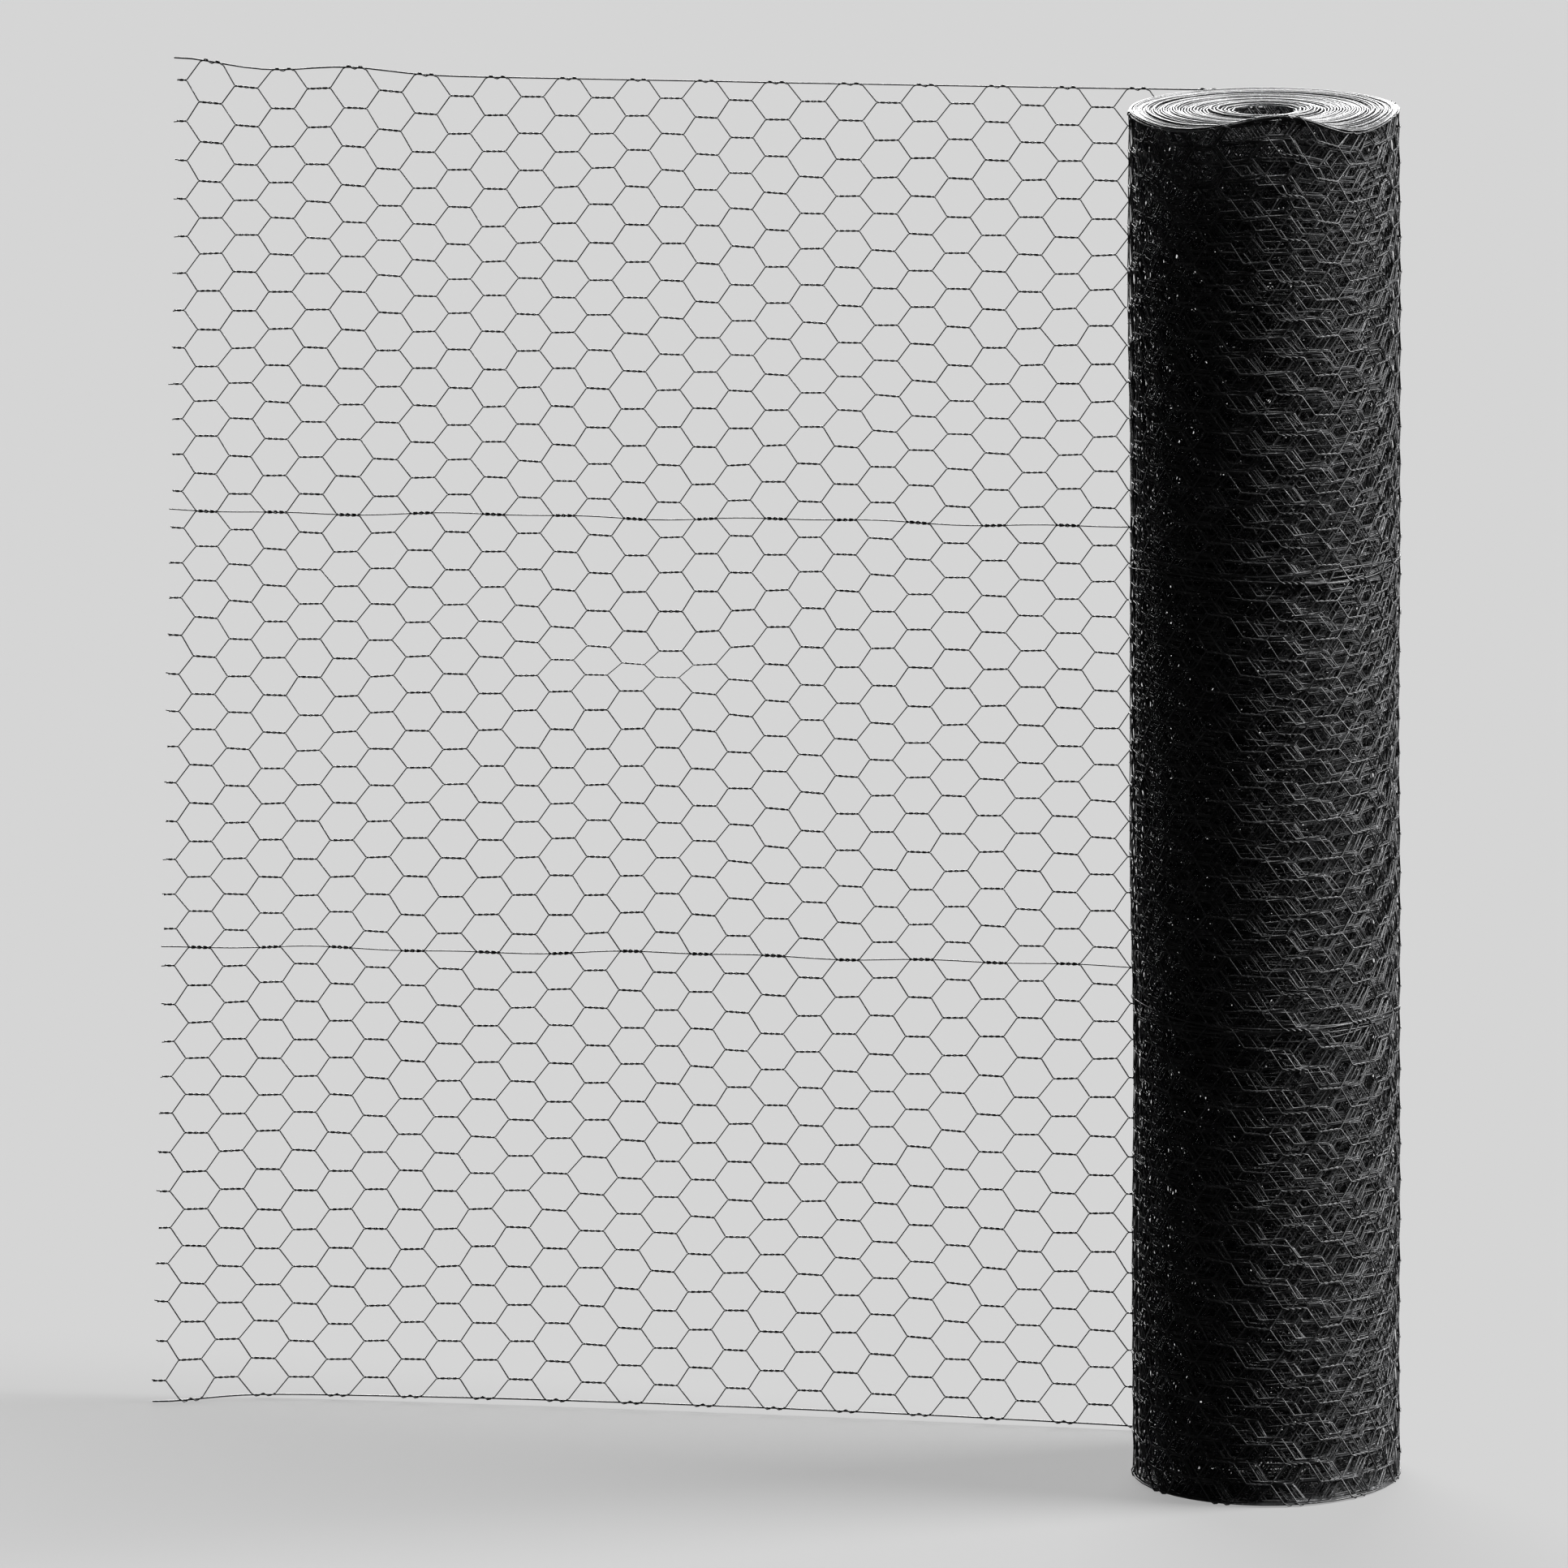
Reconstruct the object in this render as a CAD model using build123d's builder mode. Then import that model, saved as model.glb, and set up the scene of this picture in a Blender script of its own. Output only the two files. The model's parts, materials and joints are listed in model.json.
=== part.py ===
"""Roll of hexagonal wire netting, standing on its end, with its loose end drawn out straight behind it.

The origin is on the axis of the roll, on the floor. The loose end leaves the back of the roll, at +Y,
and runs along -X. All sizes are in millimetres.
"""

import os
from math import hypot

from build123d import *

# Netting
netting_width = 900.0  # selvedge to selvedge, which is the height of the standing roll
mesh_size = 25.0  # between neighbouring twists, across the netting
column_pitch = 24.25  # between neighbouring columns of twists, along the netting
twist_length = 16.5
wire_diameter = 0.9
line_wire_spacing = 300.0  # between the selvedges and the straight wires woven in as reinforcement

# Rolled part
roll_diameter = 172.0
bore_diameter = 38.0
turn_pitch = 1.56  # from one turn of the netting to the next
turn_groove_depth = 2.5  # of the grooves between turns that show on the ends of the roll

# Loose end
loose_length = 752.0  # from the axis of the roll to the cut end
seat_clearance = 0.3  # between the loose end and the turn that it leaves

# Values that follow from the sizes above
roll_radius = roll_diameter / 2
bore_radius = bore_diameter / 2
turns = round((roll_radius - bore_radius) / turn_pitch)
turn_step = (roll_radius - bore_radius) / turns

twist_width = 2 * wire_diameter  # two wires wound round each other
netting_thickness = twist_width
band_count = round(netting_width / line_wire_spacing)
band_width = netting_width / band_count
cells_across_band = round(band_width / mesh_size)
cell_height = band_width / cells_across_band
columns = round(loose_length / column_pitch)
column_step = loose_length / columns
pair_step = 2 * column_step
whole_columns = columns // 2 + 1  # every other column, from the roll on, is filled with whole cells
shifted_columns = (columns + 1) // 2  # in the ones between, the cells sit half a cell higher

# Half of one hexagonal opening. A slanted side runs from the end of a twist to the tip of the cell.
half_height = cell_height / 2 - twist_width / 2
slant_run = column_step - twist_length
slant_slope = slant_run / (cell_height / 2)
slant_wire = wire_diameter / 2 * hypot(1, slant_slope)  # half a slanted wire, measured along the netting
tip = column_step - twist_length / 2 - slant_wire


def opening_reach(height):
    """Half the width of an opening, at a height above or below the middle of its cell."""
    return tip - slant_slope * height


def half_opening(edge_wire):
    """Corners of the upper half of an opening, over a straight wire that reaches edge_wire into it."""
    return [
        (-opening_reach(edge_wire), edge_wire),
        (opening_reach(edge_wire), edge_wire),
        (opening_reach(half_height), half_height),
        (-opening_reach(half_height), half_height),
    ]


def turned_down(corners):
    return [(x, -y) for x, y in reversed(corners)]


hexagon = [
    (-tip, 0),
    *turned_down(half_opening(half_height))[:2],
    (tip, 0),
    *half_opening(half_height)[:2][::-1],
]

os.makedirs("parts", exist_ok=True)

# Rolled part: all the wound turns, turned about the bore. On both ends every turn has a crest,
# and a groove lies where two turns meet.
foot_outline = [(bore_radius, 0), (bore_radius + turn_step / 2, 0)]
for turn in range(1, turns):
    joint_radius = bore_radius + turn * turn_step
    foot_outline += [(joint_radius, turn_groove_depth), (joint_radius + turn_step / 2, 0)]
foot_outline.append((roll_radius, 0))
head_outline = [(radius, netting_width - height) for radius, height in reversed(foot_outline)]

with BuildPart() as roll:
    with BuildSketch(Plane.XZ):
        Polygon(*foot_outline, *head_outline, align=None)
    revolve(axis=Axis.Z)
roll.part.label = "roll"
export_step(roll.part, "parts/roll.step")

# Loose end: bands of open netting that meet along the reinforcing wires
netting_plane = Plane.XZ.offset(-(roll_radius + seat_clearance + netting_thickness))
from_roll = (Align.MAX, Align.CENTER)
for band in range(band_count):
    foot = band * band_width
    head = foot + band_width
    foot_wire = wire_diameter if band == 0 else wire_diameter / 2
    head_wire = wire_diameter if band == band_count - 1 else wire_diameter / 2

    with BuildPart() as netting:
        with BuildSketch(netting_plane):
            with Locations((0, (foot + head) / 2)):
                Rectangle(loose_length, band_width, align=from_roll)
                with GridLocations(pair_step, cell_height, whole_columns, cells_across_band, from_roll):
                    Polygon(*hexagon, align=None, mode=Mode.SUBTRACT)
            with Locations((-column_step, (foot + head) / 2)):
                with GridLocations(pair_step, cell_height, shifted_columns, cells_across_band - 1, from_roll):
                    Polygon(*hexagon, align=None, mode=Mode.SUBTRACT)
            with Locations((-column_step, foot)):
                with GridLocations(pair_step, cell_height, shifted_columns, 1, from_roll):
                    Polygon(*half_opening(foot_wire), align=None, mode=Mode.SUBTRACT)
            with Locations((-column_step, head)):
                with GridLocations(pair_step, cell_height, shifted_columns, 1, from_roll):
                    Polygon(*turned_down(half_opening(head_wire)), align=None, mode=Mode.SUBTRACT)
        extrude(amount=netting_thickness, clean=False)
    netting.part.label = f"netting_band_{band + 1}"
    export_step(netting.part, f"parts/{netting.part.label}.step")
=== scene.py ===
"""Looks of the roll of hexagonal wire netting: every wire of its loose end and its turns, and a studio.

The netting is laid out flat first, in netting coordinates: along its length, across its width and out of
its plane. It leaves the back of the roll at along = 0. The loose end has along below 0, and the turns
wind inwards above 0.
"""

import json
import math

import bpy
import numpy as np
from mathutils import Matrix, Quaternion, Vector


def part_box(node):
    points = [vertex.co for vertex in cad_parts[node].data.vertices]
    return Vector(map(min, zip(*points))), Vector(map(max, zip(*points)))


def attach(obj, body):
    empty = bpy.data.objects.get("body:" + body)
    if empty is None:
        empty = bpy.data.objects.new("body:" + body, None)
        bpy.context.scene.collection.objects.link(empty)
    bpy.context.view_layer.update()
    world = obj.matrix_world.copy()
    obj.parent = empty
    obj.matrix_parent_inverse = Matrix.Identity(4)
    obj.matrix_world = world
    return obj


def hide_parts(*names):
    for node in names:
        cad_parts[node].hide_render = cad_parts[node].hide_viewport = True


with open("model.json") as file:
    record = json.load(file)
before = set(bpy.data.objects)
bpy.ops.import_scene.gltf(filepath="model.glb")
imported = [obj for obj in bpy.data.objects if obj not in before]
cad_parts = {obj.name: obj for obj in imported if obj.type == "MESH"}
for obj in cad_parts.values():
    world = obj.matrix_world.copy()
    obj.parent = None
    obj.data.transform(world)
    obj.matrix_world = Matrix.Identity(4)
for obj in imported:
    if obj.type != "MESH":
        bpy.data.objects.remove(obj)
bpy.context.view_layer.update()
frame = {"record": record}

MM = 0.001
SEED = 36

# Sizes of the frame
NETTING_BANDS = ("netting_band_1", "netting_band_2", "netting_band_3")
BAND_WORDS = ("lower", "middle", "upper")
roll_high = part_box("roll")[1]
sheet_low, sheet_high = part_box(NETTING_BANDS[0])
bore = next(mount for mount in frame["record"]["mounts"] if mount["name"] == "bore")
ROLL_RADIUS = roll_high.x
BORE_RADIUS = bore["dims"]["r_mm"] * MM
WIDTH = roll_high.z
LOOSE_LENGTH = -sheet_low.x
SHEET_Y = (sheet_low.y + sheet_high.y) / 2

# Netting
ROWS = 36
LOOSE_COLUMNS = 31
TURNS = 43
FINE_COLUMNS = 24  # the outermost turn and a little more, whose twists are modelled strand by strand
WIRE_RADIUS = 0.45 * MM
SELVEDGE_RADIUS = 0.55 * MM
TWIST_LENGTH = 16.0 * MM
TWIST_TURNS = 2
TWIST_STEPS = 10
CUT_POINTS = 1 + TWIST_STEPS // 2  # of a slant and half a twist, which the cut takes away
FINE_SIDES = 4
PLAIN_SIDES = 3
CORNER_ROOM = WIRE_RADIUS / 2  # for the corners of a tube, which stand out from the round wire
SELVEDGE_INSET = SELVEDGE_RADIUS + 2 * WIRE_RADIUS + CORNER_ROOM  # wires wind round the selvedges

COLUMN_STEP = LOOSE_LENGTH / LOOSE_COLUMNS
ROW_STEP = (WIDTH - 2 * SELVEDGE_INSET) / ROWS
ROWS_IN_BAND = ROWS // len(NETTING_BANDS)
WIRES_IN_BAND = 2 * ROWS_IN_BAND
LINE_ROWS = (ROWS_IN_BAND, 2 * ROWS_IN_BAND)

# The spiral, from the outermost turn to the bore. Its pitch grows evenly from turn to turn.
OUTER_PITCH = 0.65 * MM
INNER_PITCH = 2 * (ROLL_RADIUS - BORE_RADIUS) / TURNS - OUTER_PITCH
SPIRAL_STEPS = 4000
spiral_turn = np.linspace(0, TURNS, SPIRAL_STEPS)
spiral_depth = OUTER_PITCH * spiral_turn + (INNER_PITCH - OUTER_PITCH) * spiral_turn**2 / (2 * TURNS)
spiral_step = math.tau * (SHEET_Y - spiral_depth) * TURNS / (SPIRAL_STEPS - 1)
spiral_length = np.cumsum(spiral_step) - spiral_step[0]
ROLLED_COLUMNS = int(spiral_length[-1] / COLUMN_STEP)

# Unevenness of the whole netting
CELL_DRIFT = 4.2 * MM
DRIFT_WAVES = (7, 60 * MM, 260 * MM)  # here and below: how many waves, the shortest and the longest
EDGE_EASE = 2 * ROW_STEP  # cells this close to a selvedge drift less across the netting
ROW_CREEP = 13.5 * MM  # the rows half-way up sit this much higher on the roll
ROW_CREEP_LOSS = 0.45  # the share of that creep which is lost at the cut end
ROW_CREEP_SKEW = 0.18  # the rows below half-way creep more than those above

# Unevenness of the loose end
END_LEAN = 35 * MM  # the foot of the cut end reaches this much further than its head
END_DRAW = 4 * MM  # unevenness draws the cut end back
SHEET_WAVE = 3.0 * MM
SHEET_WAVES = (4, 200 * MM, 600 * MM)
FOOT_BULGE = 10 * MM  # half-way along, the foot bulges backwards and the head forwards
HEAD_BULGE = -6 * MM
FOOT_LIFT = 3.0 * MM  # half-way along, the foot is off the floor
EDGE_POWER = 24  # how fast the lifts and curls of the head and foot fade across the netting
CORNER_REACH = 45 * MM
HEAD_CORNER_LIFT = 9 * MM
HEAD_BUMP_LIFT = 5 * MM
HEAD_BUMP_FROM_END = 115 * MM
HEAD_BUMP_REACH = 40 * MM
FOOT_CORNER_CURL = -24 * MM  # the foot of the cut end is bent forwards and drawn back
FOOT_CORNER_DRAW = 6 * MM
CUT_SPREAD = 2.0 * MM  # of the cut wires' ends, along the netting
CUT_BEND = 0.5 * MM  # of the cut wires' ends, out of the netting's plane
PINCH_SHIFT = 9 * MM  # near the middle of the loose end, a few rows are squeezed together
PINCH_FROM_END = 325 * MM
PINCH_HEIGHT = 495 * MM
PINCH_LENGTH = 50 * MM
PINCH_REACH = 30 * MM

# Unevenness of the turns
WINDING_EASE = 4 * COLUMN_STEP  # the length over which it sets in
TURN_WAVE = 1.4 * MM
TURN_WAVES = (6, 90 * MM, 300 * MM)
TURN_RISE = 2.5 * MM
RISE_WAVES = (5, 200 * MM, 900 * MM)
TURN_DRIFT = 9.0 * MM
TURN_DRIFT_WAVES = (5, 120 * MM, 500 * MM)
RIM_LIFTS = ((131, -7.0 * MM), (162, 10.5 * MM), (215, -3.0 * MM))  # by degrees round the roll
RIM_REACH = 25  # degrees
RIM_INWARD_POWER = 6  # how fast these lifts fade towards the bore
RIM_DOWNWARD_POWER = 12  # how fast they fade down the roll

# Finish of the wire. Scales are in features per metre, and stops are pairs of a noise value and a grey.
MOTTLE_SCALE = 70
MOTTLE_DETAIL = 4
MOTTLE_STOPS = ((0.35, 0.022), (0.7, 0.075))
SCUFF_SCALE = 420
SCUFF_DETAIL = 2
SCUFF_STOPS = ((0.6, 0.0), (0.72, 0.2))
GRAIN_SCALE = 900
GRAIN_DETAIL = 2
GRAIN_DEPTH = 0.1 * MM
GRAIN_STRENGTH = 0.2
SMOOTHEST = 0.26
ROUGHEST = 0.58
TINT = (1.0, 1.01, 1.04)  # the coating is a little bluer than grey
BAKE_MARGIN = 0.1  # round each face in its square of the bake map, as a share of the square

# Studio
CAMERA_TURN = math.radians(10.67)
CAMERA_PITCH = math.radians(11.98)
CAMERA_ROLL = math.radians(0.58)
CAMERA_DISTANCE = 8.0
CAMERA_HEIGHT = 2.148
CAMERA_AIM_X = -0.3162
CAMERA_LENS_MM = 288.8
CAMERA_SENSOR_MM = 36
CAMERA_SIGHT = 200  # further than the floor reaches
FLOOR_SIZE = 80
FLOOR_GREY = 0.13
FLOOR_GLOW = 0.35
FLOOR_ROUGHNESS = 0.9
BACKDROP_GREY = 0.7
AMBIENT_GREY = 0.9
AMBIENT_STRENGTH = 0.055

# Suns: strength, then spread, angle to the right of the camera and height above the floor, in degrees
SUNS = {
    "key": (8.5, 30, 88, 38),
    "back": (5.5, 50, 187, 24),
}


class Waves:
    """A smooth random field in space, between -1 and 1: a mean of plane waves."""

    def __init__(self, rng, count, shortest, longest):
        heading = rng.normal(size=(count, 3))
        heading /= np.linalg.norm(heading, axis=1, keepdims=True)
        self.waves = heading * math.tau / rng.uniform(shortest, longest, (count, 1))
        self.phases = rng.uniform(0, math.tau, count)

    def at(self, x, y, z=0.0):
        total = np.zeros_like(x)
        for (a, b, c), phase in zip(self.waves, self.phases):
            total += np.sin(a * x + b * y + c * z + phase)
        return total / len(self.phases)


rng = np.random.default_rng(SEED)
drift_along = Waves(rng, *DRIFT_WAVES)
drift_across = Waves(rng, *DRIFT_WAVES)
sheet_wave = Waves(rng, *SHEET_WAVES)
turn_wave = Waves(rng, *TURN_WAVES)
turn_rise = Waves(rng, *RISE_WAVES)
turn_drift = Waves(rng, *TURN_DRIFT_WAVES)


def hump(distance, reach):
    """1 at no distance, and fading smoothly to almost 0 at twice the reach."""
    return np.exp(-((distance / reach) ** 2))


def loose_share(along):
    """0 on the roll, rising along the loose end to 1 at the cut."""
    return np.clip(-along / LOOSE_LENGTH, 0, 1)


def edge_share(across):
    """0 on a selvedge, rising to 1 where the cells drift in full."""
    return np.clip(np.minimum(across, WIDTH - across) / EDGE_EASE, 0, 1)


def wind(along):
    """The angle that the netting has turned through at a length along the spiral, and its radius there."""
    turn = np.interp(along, spiral_length, spiral_turn)
    return math.tau * turn, SHEET_Y - np.interp(turn, spiral_turn, spiral_depth)


def netting_shift(along, across):
    """How the whole netting departs from an even mesh: along and across."""
    half_wave = math.pi * across / WIDTH
    creep = np.sin(half_wave) + ROW_CREEP_SKEW * np.sin(2 * half_wave)
    shift_along = CELL_DRIFT * drift_along.at(along, across)
    shift_across = CELL_DRIFT * edge_share(across) * drift_across.at(along, across)
    shift_across += ROW_CREEP * (1 - ROW_CREEP_LOSS * loose_share(along) ** 2) * creep
    return shift_along, shift_across


def loose_end_shift(along, across):
    """How the loose end departs from a flat, straight sheet: along, across and out of its plane."""
    share = loose_share(along)
    height = across / WIDTH
    arch = 4 * share * (1 - share)
    from_end = along + LOOSE_LENGTH
    near_end = hump(from_end, CORNER_REACH)
    head_lift = HEAD_CORNER_LIFT * near_end
    head_lift += HEAD_BUMP_LIFT * hump(from_end - HEAD_BUMP_FROM_END, HEAD_BUMP_REACH)
    foot_corner = near_end * (1 - height) ** EDGE_POWER
    above_pinch = across - PINCH_HEIGHT
    pinch = hump(from_end - PINCH_FROM_END, PINCH_LENGTH) * hump(above_pinch, PINCH_REACH)

    shift_along = share * (END_LEAN * (height - 0.5) + END_DRAW) + FOOT_CORNER_DRAW * foot_corner
    shift_across = FOOT_LIFT * arch * (1 - height) ** 2 + head_lift * height**EDGE_POWER
    shift_across -= PINCH_SHIFT * pinch * above_pinch / PINCH_REACH
    shift_out = arch * (FOOT_BULGE * (1 - height) + HEAD_BULGE * height)
    shift_out += SHEET_WAVE * share * sheet_wave.at(along, across)
    shift_out += FOOT_CORNER_CURL * foot_corner
    return shift_along, shift_across, shift_out


def rim_shift(angle, radius, across):
    """How the head of the outer turns stands up or is pressed down, by the angle round the roll."""
    degrees = np.degrees(angle) % 360
    lift = sum(height * hump(degrees - middle, RIM_REACH) for middle, height in RIM_LIFTS)
    inward_fade = (radius / ROLL_RADIUS) ** RIM_INWARD_POWER
    return lift * inward_fade * (across / WIDTH) ** RIM_DOWNWARD_POWER


def turn_shift(along, across):
    """How the turns depart from an even spiral: across and out of the netting's plane."""
    share = np.clip(along / WINDING_EASE, 0, 1)
    angle, radius = wind(along)
    rise = (1 + turn_rise.at(along, np.zeros_like(along))) / 2
    wave = turn_wave.at(ROLL_RADIUS * np.sin(angle), ROLL_RADIUS * np.cos(angle), across)

    shift_across = TURN_RISE * rise * across / WIDTH + rim_shift(angle, radius, across)
    shift_across += TURN_DRIFT * edge_share(across) * turn_drift.at(along, across)
    return share * shift_across, share * TURN_WAVE * wave


def place(points):
    """Points in netting coordinates, moved by the netting's unevenness and wound on to the roll."""
    along, across, out = points[..., 0], points[..., 1], points[..., 2]
    netting_along, netting_across = netting_shift(along, across)
    loose_along, loose_across, loose_out = loose_end_shift(along, across)
    turn_across, turn_out = turn_shift(along, across)

    new_along = along + netting_along + loose_along
    angle, radius = wind(new_along)
    radius = radius + out + loose_out + turn_out
    wound = new_along > 0
    x = np.where(wound, radius * np.sin(angle), new_along)
    y = np.where(wound, radius * np.cos(angle), radius)
    z = across + netting_across + loose_across + turn_across
    return np.stack([x, y, z], axis=-1)


def tube_rings(paths, radius, sides):
    """Rings of points round paths, an array of wires by points, each as wide as the wire on average."""
    heading = np.gradient(paths, axis=1)
    heading /= np.linalg.norm(heading, axis=-1, keepdims=True)
    side = np.cross(heading, (0.0, 0.0, 1.0))
    side /= np.linalg.norm(side, axis=-1, keepdims=True)
    rise = np.cross(side, heading)
    angle = math.tau * (np.arange(sides) + 0.5) / sides
    reach = radius * math.pi / (sides * math.sin(math.pi / sides))
    around = np.cos(angle)[:, None] * side[:, :, None] + np.sin(angle)[:, None] * rise[:, :, None]
    return paths[:, :, None] + reach * around


def add_bake_map(mesh, walls, caps, sides):
    """A UV map in which each face has a square of its own, in rows that follow the wires."""
    per_row = math.ceil(math.sqrt(walls + caps))
    low, high = BAKE_MARGIN, 1 - BAKE_MARGIN
    corner = np.array([(low, low), (high, low), (high, high), (low, high)])
    face = np.concatenate([np.repeat(np.arange(walls), 4), walls + np.repeat(np.arange(caps), sides)])
    place_in_face = np.concatenate([np.tile(corner, (walls, 1)), np.tile(corner[:sides], (caps, 1))])
    square = np.stack([face % per_row, face // per_row], axis=-1)
    uv_map = mesh.uv_layers.new(name="OFBake")
    uv_map.data.foreach_set("uv", ((square + place_in_face) / per_row).ravel())


def tube_mesh(name, paths, radius, sides):
    """One mesh of closed tubes that follow paths, in netting coordinates."""
    wires, points = paths.shape[:2]
    vertices = place(tube_rings(paths, radius, sides)).reshape(-1, 3)

    number = np.arange(wires * points * sides).reshape(wires, points, sides)
    here, after = number[:, :-1], number[:, 1:]
    walls = np.stack([here, np.roll(here, -1, 2), np.roll(after, -1, 2), after], axis=-1).reshape(-1, 4)
    caps = np.concatenate([number[:, 0, ::-1], number[:, -1]])
    corners = np.concatenate([walls.ravel(), caps.ravel()])
    starts = np.concatenate([np.arange(len(walls)) * 4, len(walls) * 4 + np.arange(len(caps)) * sides])

    mesh = bpy.data.meshes.new(name)
    mesh.vertices.add(len(vertices))
    mesh.vertices.foreach_set("co", vertices.ravel())
    mesh.loops.add(len(corners))
    mesh.loops.foreach_set("vertex_index", corners)
    mesh.polygons.add(len(starts))
    mesh.polygons.foreach_set("loop_start", starts)
    mesh.update(calc_edges=True)
    mesh.shade_smooth()
    add_bake_map(mesh, len(walls), len(caps), sides)
    return mesh


def add_tubes(name, paths, radius, sides, material, *nodes):
    """A piece made of tubes, which stands for the nodes."""
    mesh = tube_mesh(name, paths, radius, sides)
    mesh.materials.append(material)
    piece = bpy.data.objects.new(name, mesh)
    bpy.context.collection.objects.link(piece)
    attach(piece, "root")
    if nodes:
        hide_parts(*nodes)


def twist_centre(wire, column):
    """The row that a wire's twist in a column is in, and the side that it comes from: -1 is below."""
    if column % 2:
        return wire // 2 + 0.5, 1 if wire % 2 else -1
    return (wire + 1) // 2, -1 if wire % 2 else 1


def row_height(row):
    return SELVEDGE_INSET + row * ROW_STEP


def core_radius(row):
    """The radius of the straight wire inside a twist, or 0 where two wires just wind round each other."""
    if row in (0, ROWS):
        return SELVEDGE_RADIUS
    return WIRE_RADIUS if row in LINE_ROWS else 0.0


def fine_strand(wire, column):
    """A wire through a twist, with its winding."""
    row, side = twist_centre(wire, column)
    radius = side * (WIRE_RADIUS + core_radius(row))
    hand = 1 if column % 2 else -1
    step = np.linspace(0, 1, TWIST_STEPS + 1)
    turn = hand * math.tau * TWIST_TURNS * step
    along = column * COLUMN_STEP + TWIST_LENGTH * (step - 0.5)
    return np.stack([along, row_height(row) + radius * np.cos(turn), radius * np.sin(turn)], axis=-1)


def plain_strand(wire, column):
    """A wire's two ends of a twist, for the turns that only show through the ones outside them."""
    row, side = twist_centre(wire, column)
    across = row_height(row) + side * (WIRE_RADIUS + core_radius(row))
    middle = column * COLUMN_STEP
    return np.array([[middle - TWIST_LENGTH / 2, across, 0.0], [middle + TWIST_LENGTH / 2, across, 0.0]])


def slant_middle(wire, column, way):
    """The middle of the slant, half a row high, that a wire takes before a twist (way is -1) or after it."""
    row, side = twist_centre(wire, column)
    return np.array([[(column + way / 2) * COLUMN_STEP, row_height(row + side / 4), 0.0]])


def wire_paths(strand, wires, first, last):
    """The paths of some wires from column first to column last."""
    paths = []
    for wire in wires:
        run = [strand(wire, column) for column in range(first, last + 1)]
        paths.append(np.concatenate([slant_middle(wire, first, -1), *run, slant_middle(wire, last, 1)]))
    return np.array(paths)


def cut_short(paths):
    """Paths that start at a ragged cut through the middle of their first twists."""
    cut = paths[:, CUT_POINTS:].copy()
    cut[:, 0, 0] += rng.uniform(-CUT_SPREAD, CUT_SPREAD, len(cut))
    cut[:, 0, 2] += rng.uniform(-CUT_BEND, CUT_BEND, len(cut))
    return cut


def straight_wires(rows):
    """Straight wires that run the whole length of the netting, from the cut to the bore."""
    along = np.arange(-LOOSE_LENGTH - CUT_SPREAD, ROLLED_COLUMNS * COLUMN_STEP, COLUMN_STEP / 2)
    paths = np.zeros((len(rows), len(along), 3))
    paths[:, :, 0] = along
    paths[:, :, 1] = row_height(np.array(rows)[:, None])
    return paths


def add_noise(tree, scale, detail):
    """Noise fixed to the piece."""
    noise = tree.nodes.new("ShaderNodeTexNoise")
    noise.inputs["Scale"].default_value = scale
    noise.inputs["Detail"].default_value = detail
    where = tree.nodes.new("ShaderNodeTexCoord")
    tree.links.new(where.outputs["Object"], noise.inputs["Vector"])
    return noise


def add_ramp(tree, noise, stops):
    """Colours picked by noise, between two stops."""
    ramp = tree.nodes.new("ShaderNodeValToRGB")
    for element, (position, grey) in zip(ramp.color_ramp.elements, stops):
        element.position = position
        element.color = (*(grey * share for share in TINT), 1)
    tree.links.new(noise.outputs["Fac"], ramp.inputs["Fac"])
    return ramp


def wire_finish():
    """Dark coated steel wire: satin, mottled, with small scuffs that show paler."""
    material = bpy.data.materials.new("dark_coated_wire")
    material.use_nodes = True
    tree = material.node_tree
    shader = tree.nodes["Principled BSDF"]

    mottle = add_ramp(tree, add_noise(tree, MOTTLE_SCALE, MOTTLE_DETAIL), MOTTLE_STOPS)
    scuffs = add_ramp(tree, add_noise(tree, SCUFF_SCALE, SCUFF_DETAIL), SCUFF_STOPS)
    colour = tree.nodes.new("ShaderNodeMix")
    colour.data_type = "RGBA"
    colour.blend_type = "ADD"
    colour.inputs["Factor"].default_value = 1.0
    tree.links.new(mottle.outputs["Color"], colour.inputs["A"])
    tree.links.new(scuffs.outputs["Color"], colour.inputs["B"])
    tree.links.new(colour.outputs["Result"], shader.inputs["Base Color"])

    grain = add_noise(tree, GRAIN_SCALE, GRAIN_DETAIL)
    rough = tree.nodes.new("ShaderNodeMapRange")
    rough.inputs["To Min"].default_value = SMOOTHEST
    rough.inputs["To Max"].default_value = ROUGHEST
    tree.links.new(grain.outputs["Fac"], rough.inputs["Value"])
    tree.links.new(rough.outputs["Result"], shader.inputs["Roughness"])
    bump = tree.nodes.new("ShaderNodeBump")
    bump.inputs["Strength"].default_value = GRAIN_STRENGTH
    bump.inputs["Distance"].default_value = GRAIN_DEPTH
    tree.links.new(grain.outputs["Fac"], bump.inputs["Height"])
    tree.links.new(bump.outputs["Normal"], shader.inputs["Normal"])
    return material


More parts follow.
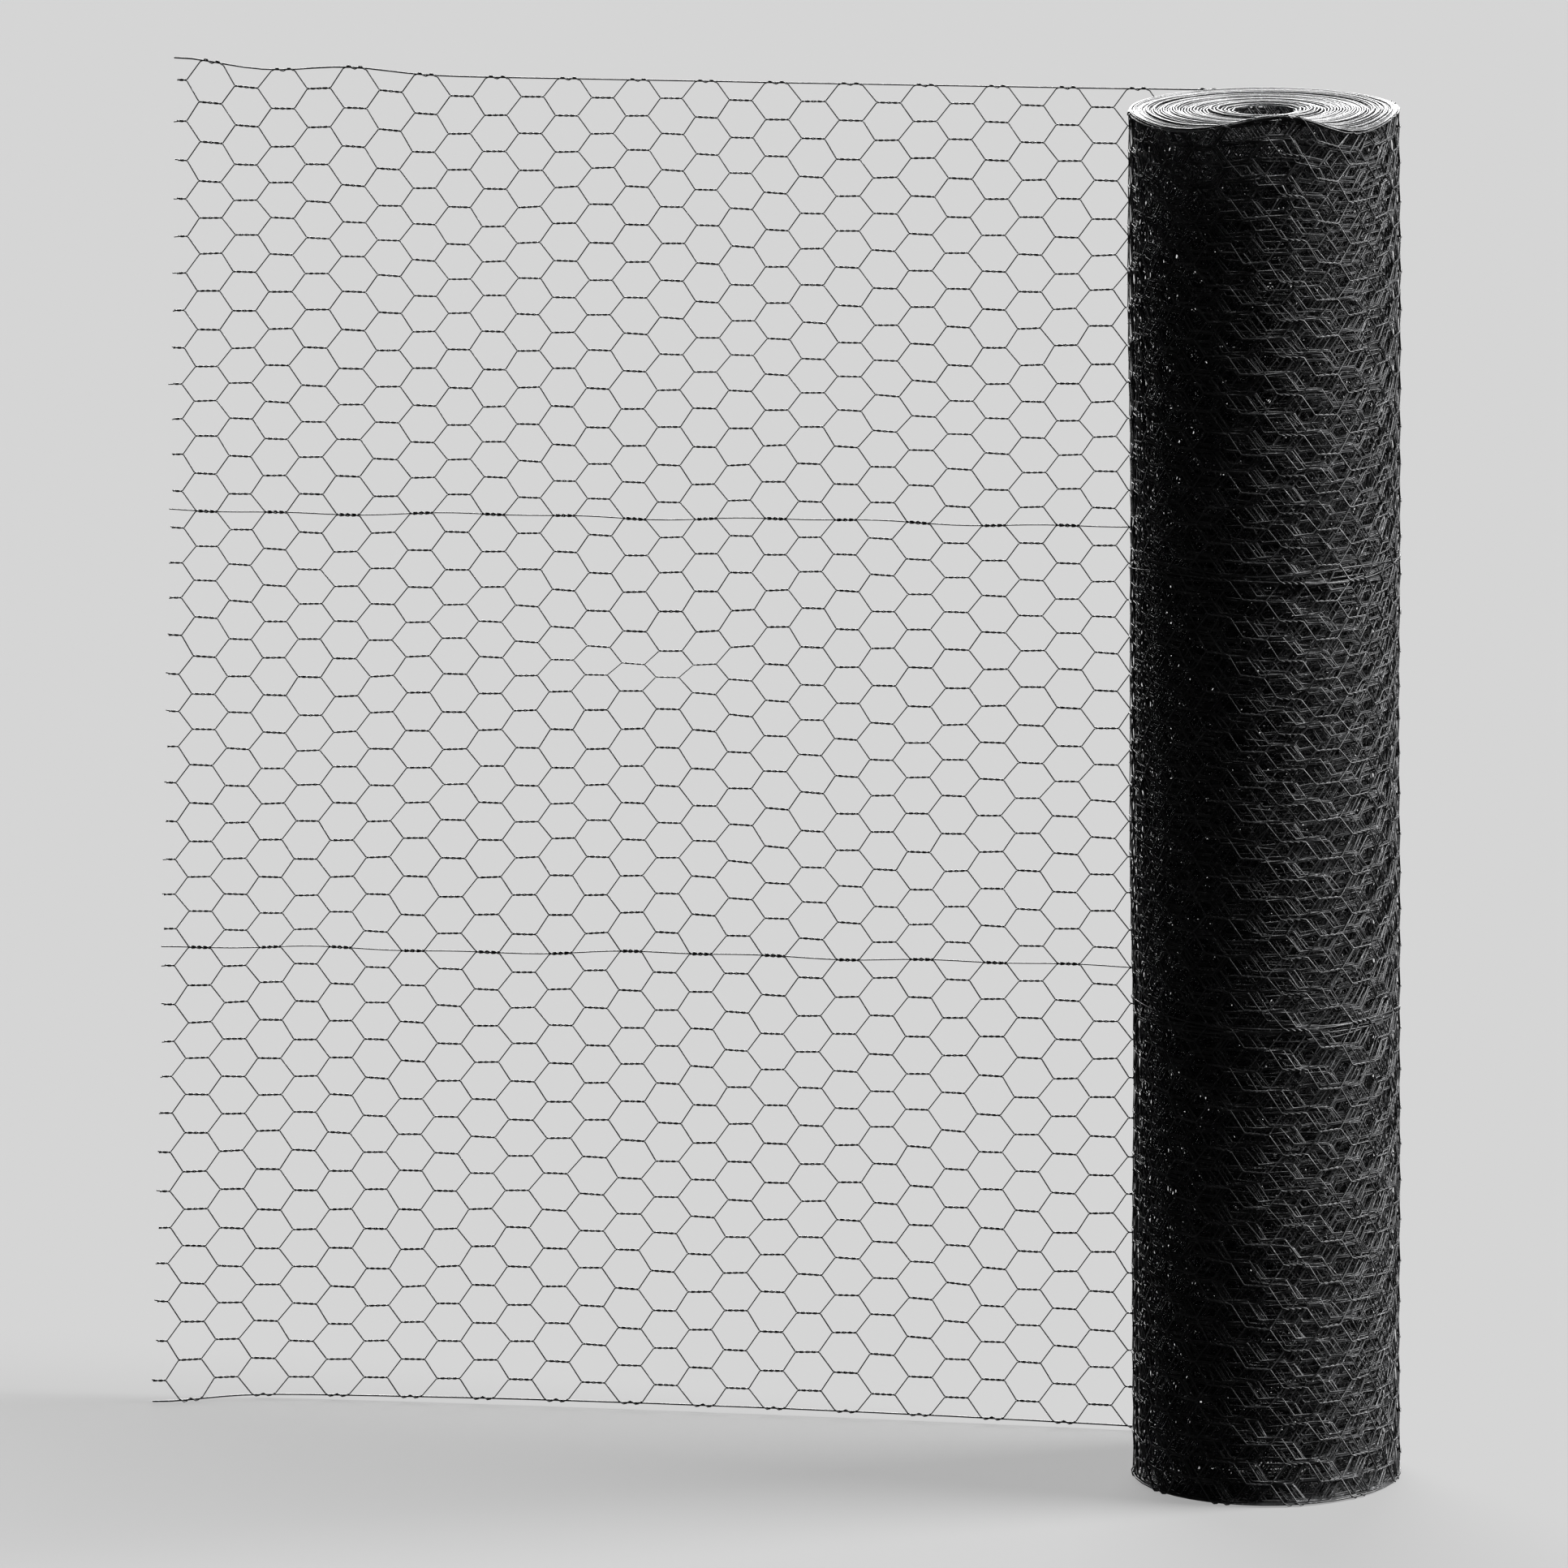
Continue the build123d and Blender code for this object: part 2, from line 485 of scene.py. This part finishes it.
def build_netting():
    """All the wires, in pieces of one band of the netting each, and the straight wires."""
    wire = wire_finish()
    for band, (node, word) in enumerate(zip(NETTING_BANDS, BAND_WORDS)):
        wires = range(band * WIRES_IN_BAND, (band + 1) * WIRES_IN_BAND)
        loose = cut_short(wire_paths(fine_strand, wires, -LOOSE_COLUMNS, -1))
        add_tubes(f"loose_end_{word}", loose, WIRE_RADIUS, FINE_SIDES, wire, node)

        outer = wire_paths(fine_strand, wires, 0, FINE_COLUMNS - 1)
        outer_nodes = ("roll",) if band == 0 else ()
        add_tubes(f"outer_turn_{word}", outer, WIRE_RADIUS, FINE_SIDES, wire, *outer_nodes)

        inner = wire_paths(plain_strand, wires, FINE_COLUMNS, ROLLED_COLUMNS - 1)
        add_tubes(f"inner_turns_{word}", inner, WIRE_RADIUS, PLAIN_SIDES, wire)

    add_tubes("selvedge_wires", straight_wires((0, ROWS)), SELVEDGE_RADIUS, FINE_SIDES, wire)
    add_tubes("line_wires", straight_wires(LINE_ROWS), WIRE_RADIUS, FINE_SIDES, wire)


def add_camera():
    """A long lens at the photograph's viewing angle."""
    level = Vector((-math.sin(CAMERA_TURN), math.cos(CAMERA_TURN), 0))
    ahead = level * math.cos(CAMERA_PITCH) + Vector((0, 0, -math.sin(CAMERA_PITCH)))
    data = bpy.data.cameras.new("camera")
    data.lens = CAMERA_LENS_MM
    data.sensor_width = CAMERA_SENSOR_MM
    data.clip_end = CAMERA_SIGHT
    camera = bpy.data.objects.new("camera", data)
    camera.location = Vector((CAMERA_AIM_X, 0, CAMERA_HEIGHT)) - level * CAMERA_DISTANCE
    camera.rotation_euler = (Quaternion(ahead, CAMERA_ROLL) @ ahead.to_track_quat("-Z", "Y")).to_euler()
    bpy.context.collection.objects.link(camera)
    bpy.context.scene.camera = camera


def add_sun(name, strength, spread, turn, height):
    data = bpy.data.lights.new(name, "SUN")
    data.energy = strength
    data.angle = math.radians(spread)
    around = CAMERA_TURN + math.radians(turn)
    up = math.radians(height)
    towards = Vector((math.sin(around) * math.cos(up), -math.cos(around) * math.cos(up), math.sin(up)))
    light = bpy.data.objects.new(name, data)
    light.rotation_euler = towards.to_track_quat("Z", "Y").to_euler()
    bpy.context.collection.objects.link(light)


def opaque(grey):
    return (grey, grey, grey, 1)


def add_world():
    """Dim even light all round, and a pale backdrop where the camera looks past the floor."""
    world = bpy.data.worlds.new("studio")
    world.use_nodes = True
    nodes, links = world.node_tree.nodes, world.node_tree.links
    ambient = nodes["Background"]
    ambient.inputs["Color"].default_value = opaque(AMBIENT_GREY)
    ambient.inputs["Strength"].default_value = AMBIENT_STRENGTH
    backdrop = nodes.new("ShaderNodeBackground")
    backdrop.inputs["Color"].default_value = opaque(BACKDROP_GREY)
    path = nodes.new("ShaderNodeLightPath")
    mix = nodes.new("ShaderNodeMixShader")
    links.new(path.outputs["Is Camera Ray"], mix.inputs["Fac"])
    links.new(ambient.outputs["Background"], mix.inputs[1])
    links.new(backdrop.outputs["Background"], mix.inputs[2])
    links.new(mix.outputs["Shader"], nodes["World Output"].inputs["Surface"])
    bpy.context.scene.world = world


def add_floor():
    """A pale floor that gives off a little light of its own, and throws none on to the object."""
    half = FLOOR_SIZE / 2
    corners = [(-half, -half, 0), (half, -half, 0), (half, half, 0), (-half, half, 0)]
    mesh = bpy.data.meshes.new("floor")
    mesh.from_pydata(corners, [], [(0, 1, 2, 3)])
    floor = bpy.data.objects.new("floor", mesh)
    bpy.context.collection.objects.link(floor)
    material = bpy.data.materials.new("pale_floor")
    material.use_nodes = True
    shader = material.node_tree.nodes["Principled BSDF"]
    shader.inputs["Base Color"].default_value = opaque(FLOOR_GREY)
    shader.inputs["Roughness"].default_value = FLOOR_ROUGHNESS
    shader.inputs["Specular IOR Level"].default_value = 0.0
    shader.inputs["Emission Color"].default_value = opaque(1)
    shader.inputs["Emission Strength"].default_value = FLOOR_GLOW
    mesh.materials.append(material)
    floor.visible_diffuse = False
    floor.visible_glossy = False


build_netting()
add_camera()
add_world()
add_floor()
for sun_name, sun in SUNS.items():
    add_sun(sun_name, *sun)
bpy.context.scene.view_settings.view_transform = "Standard"
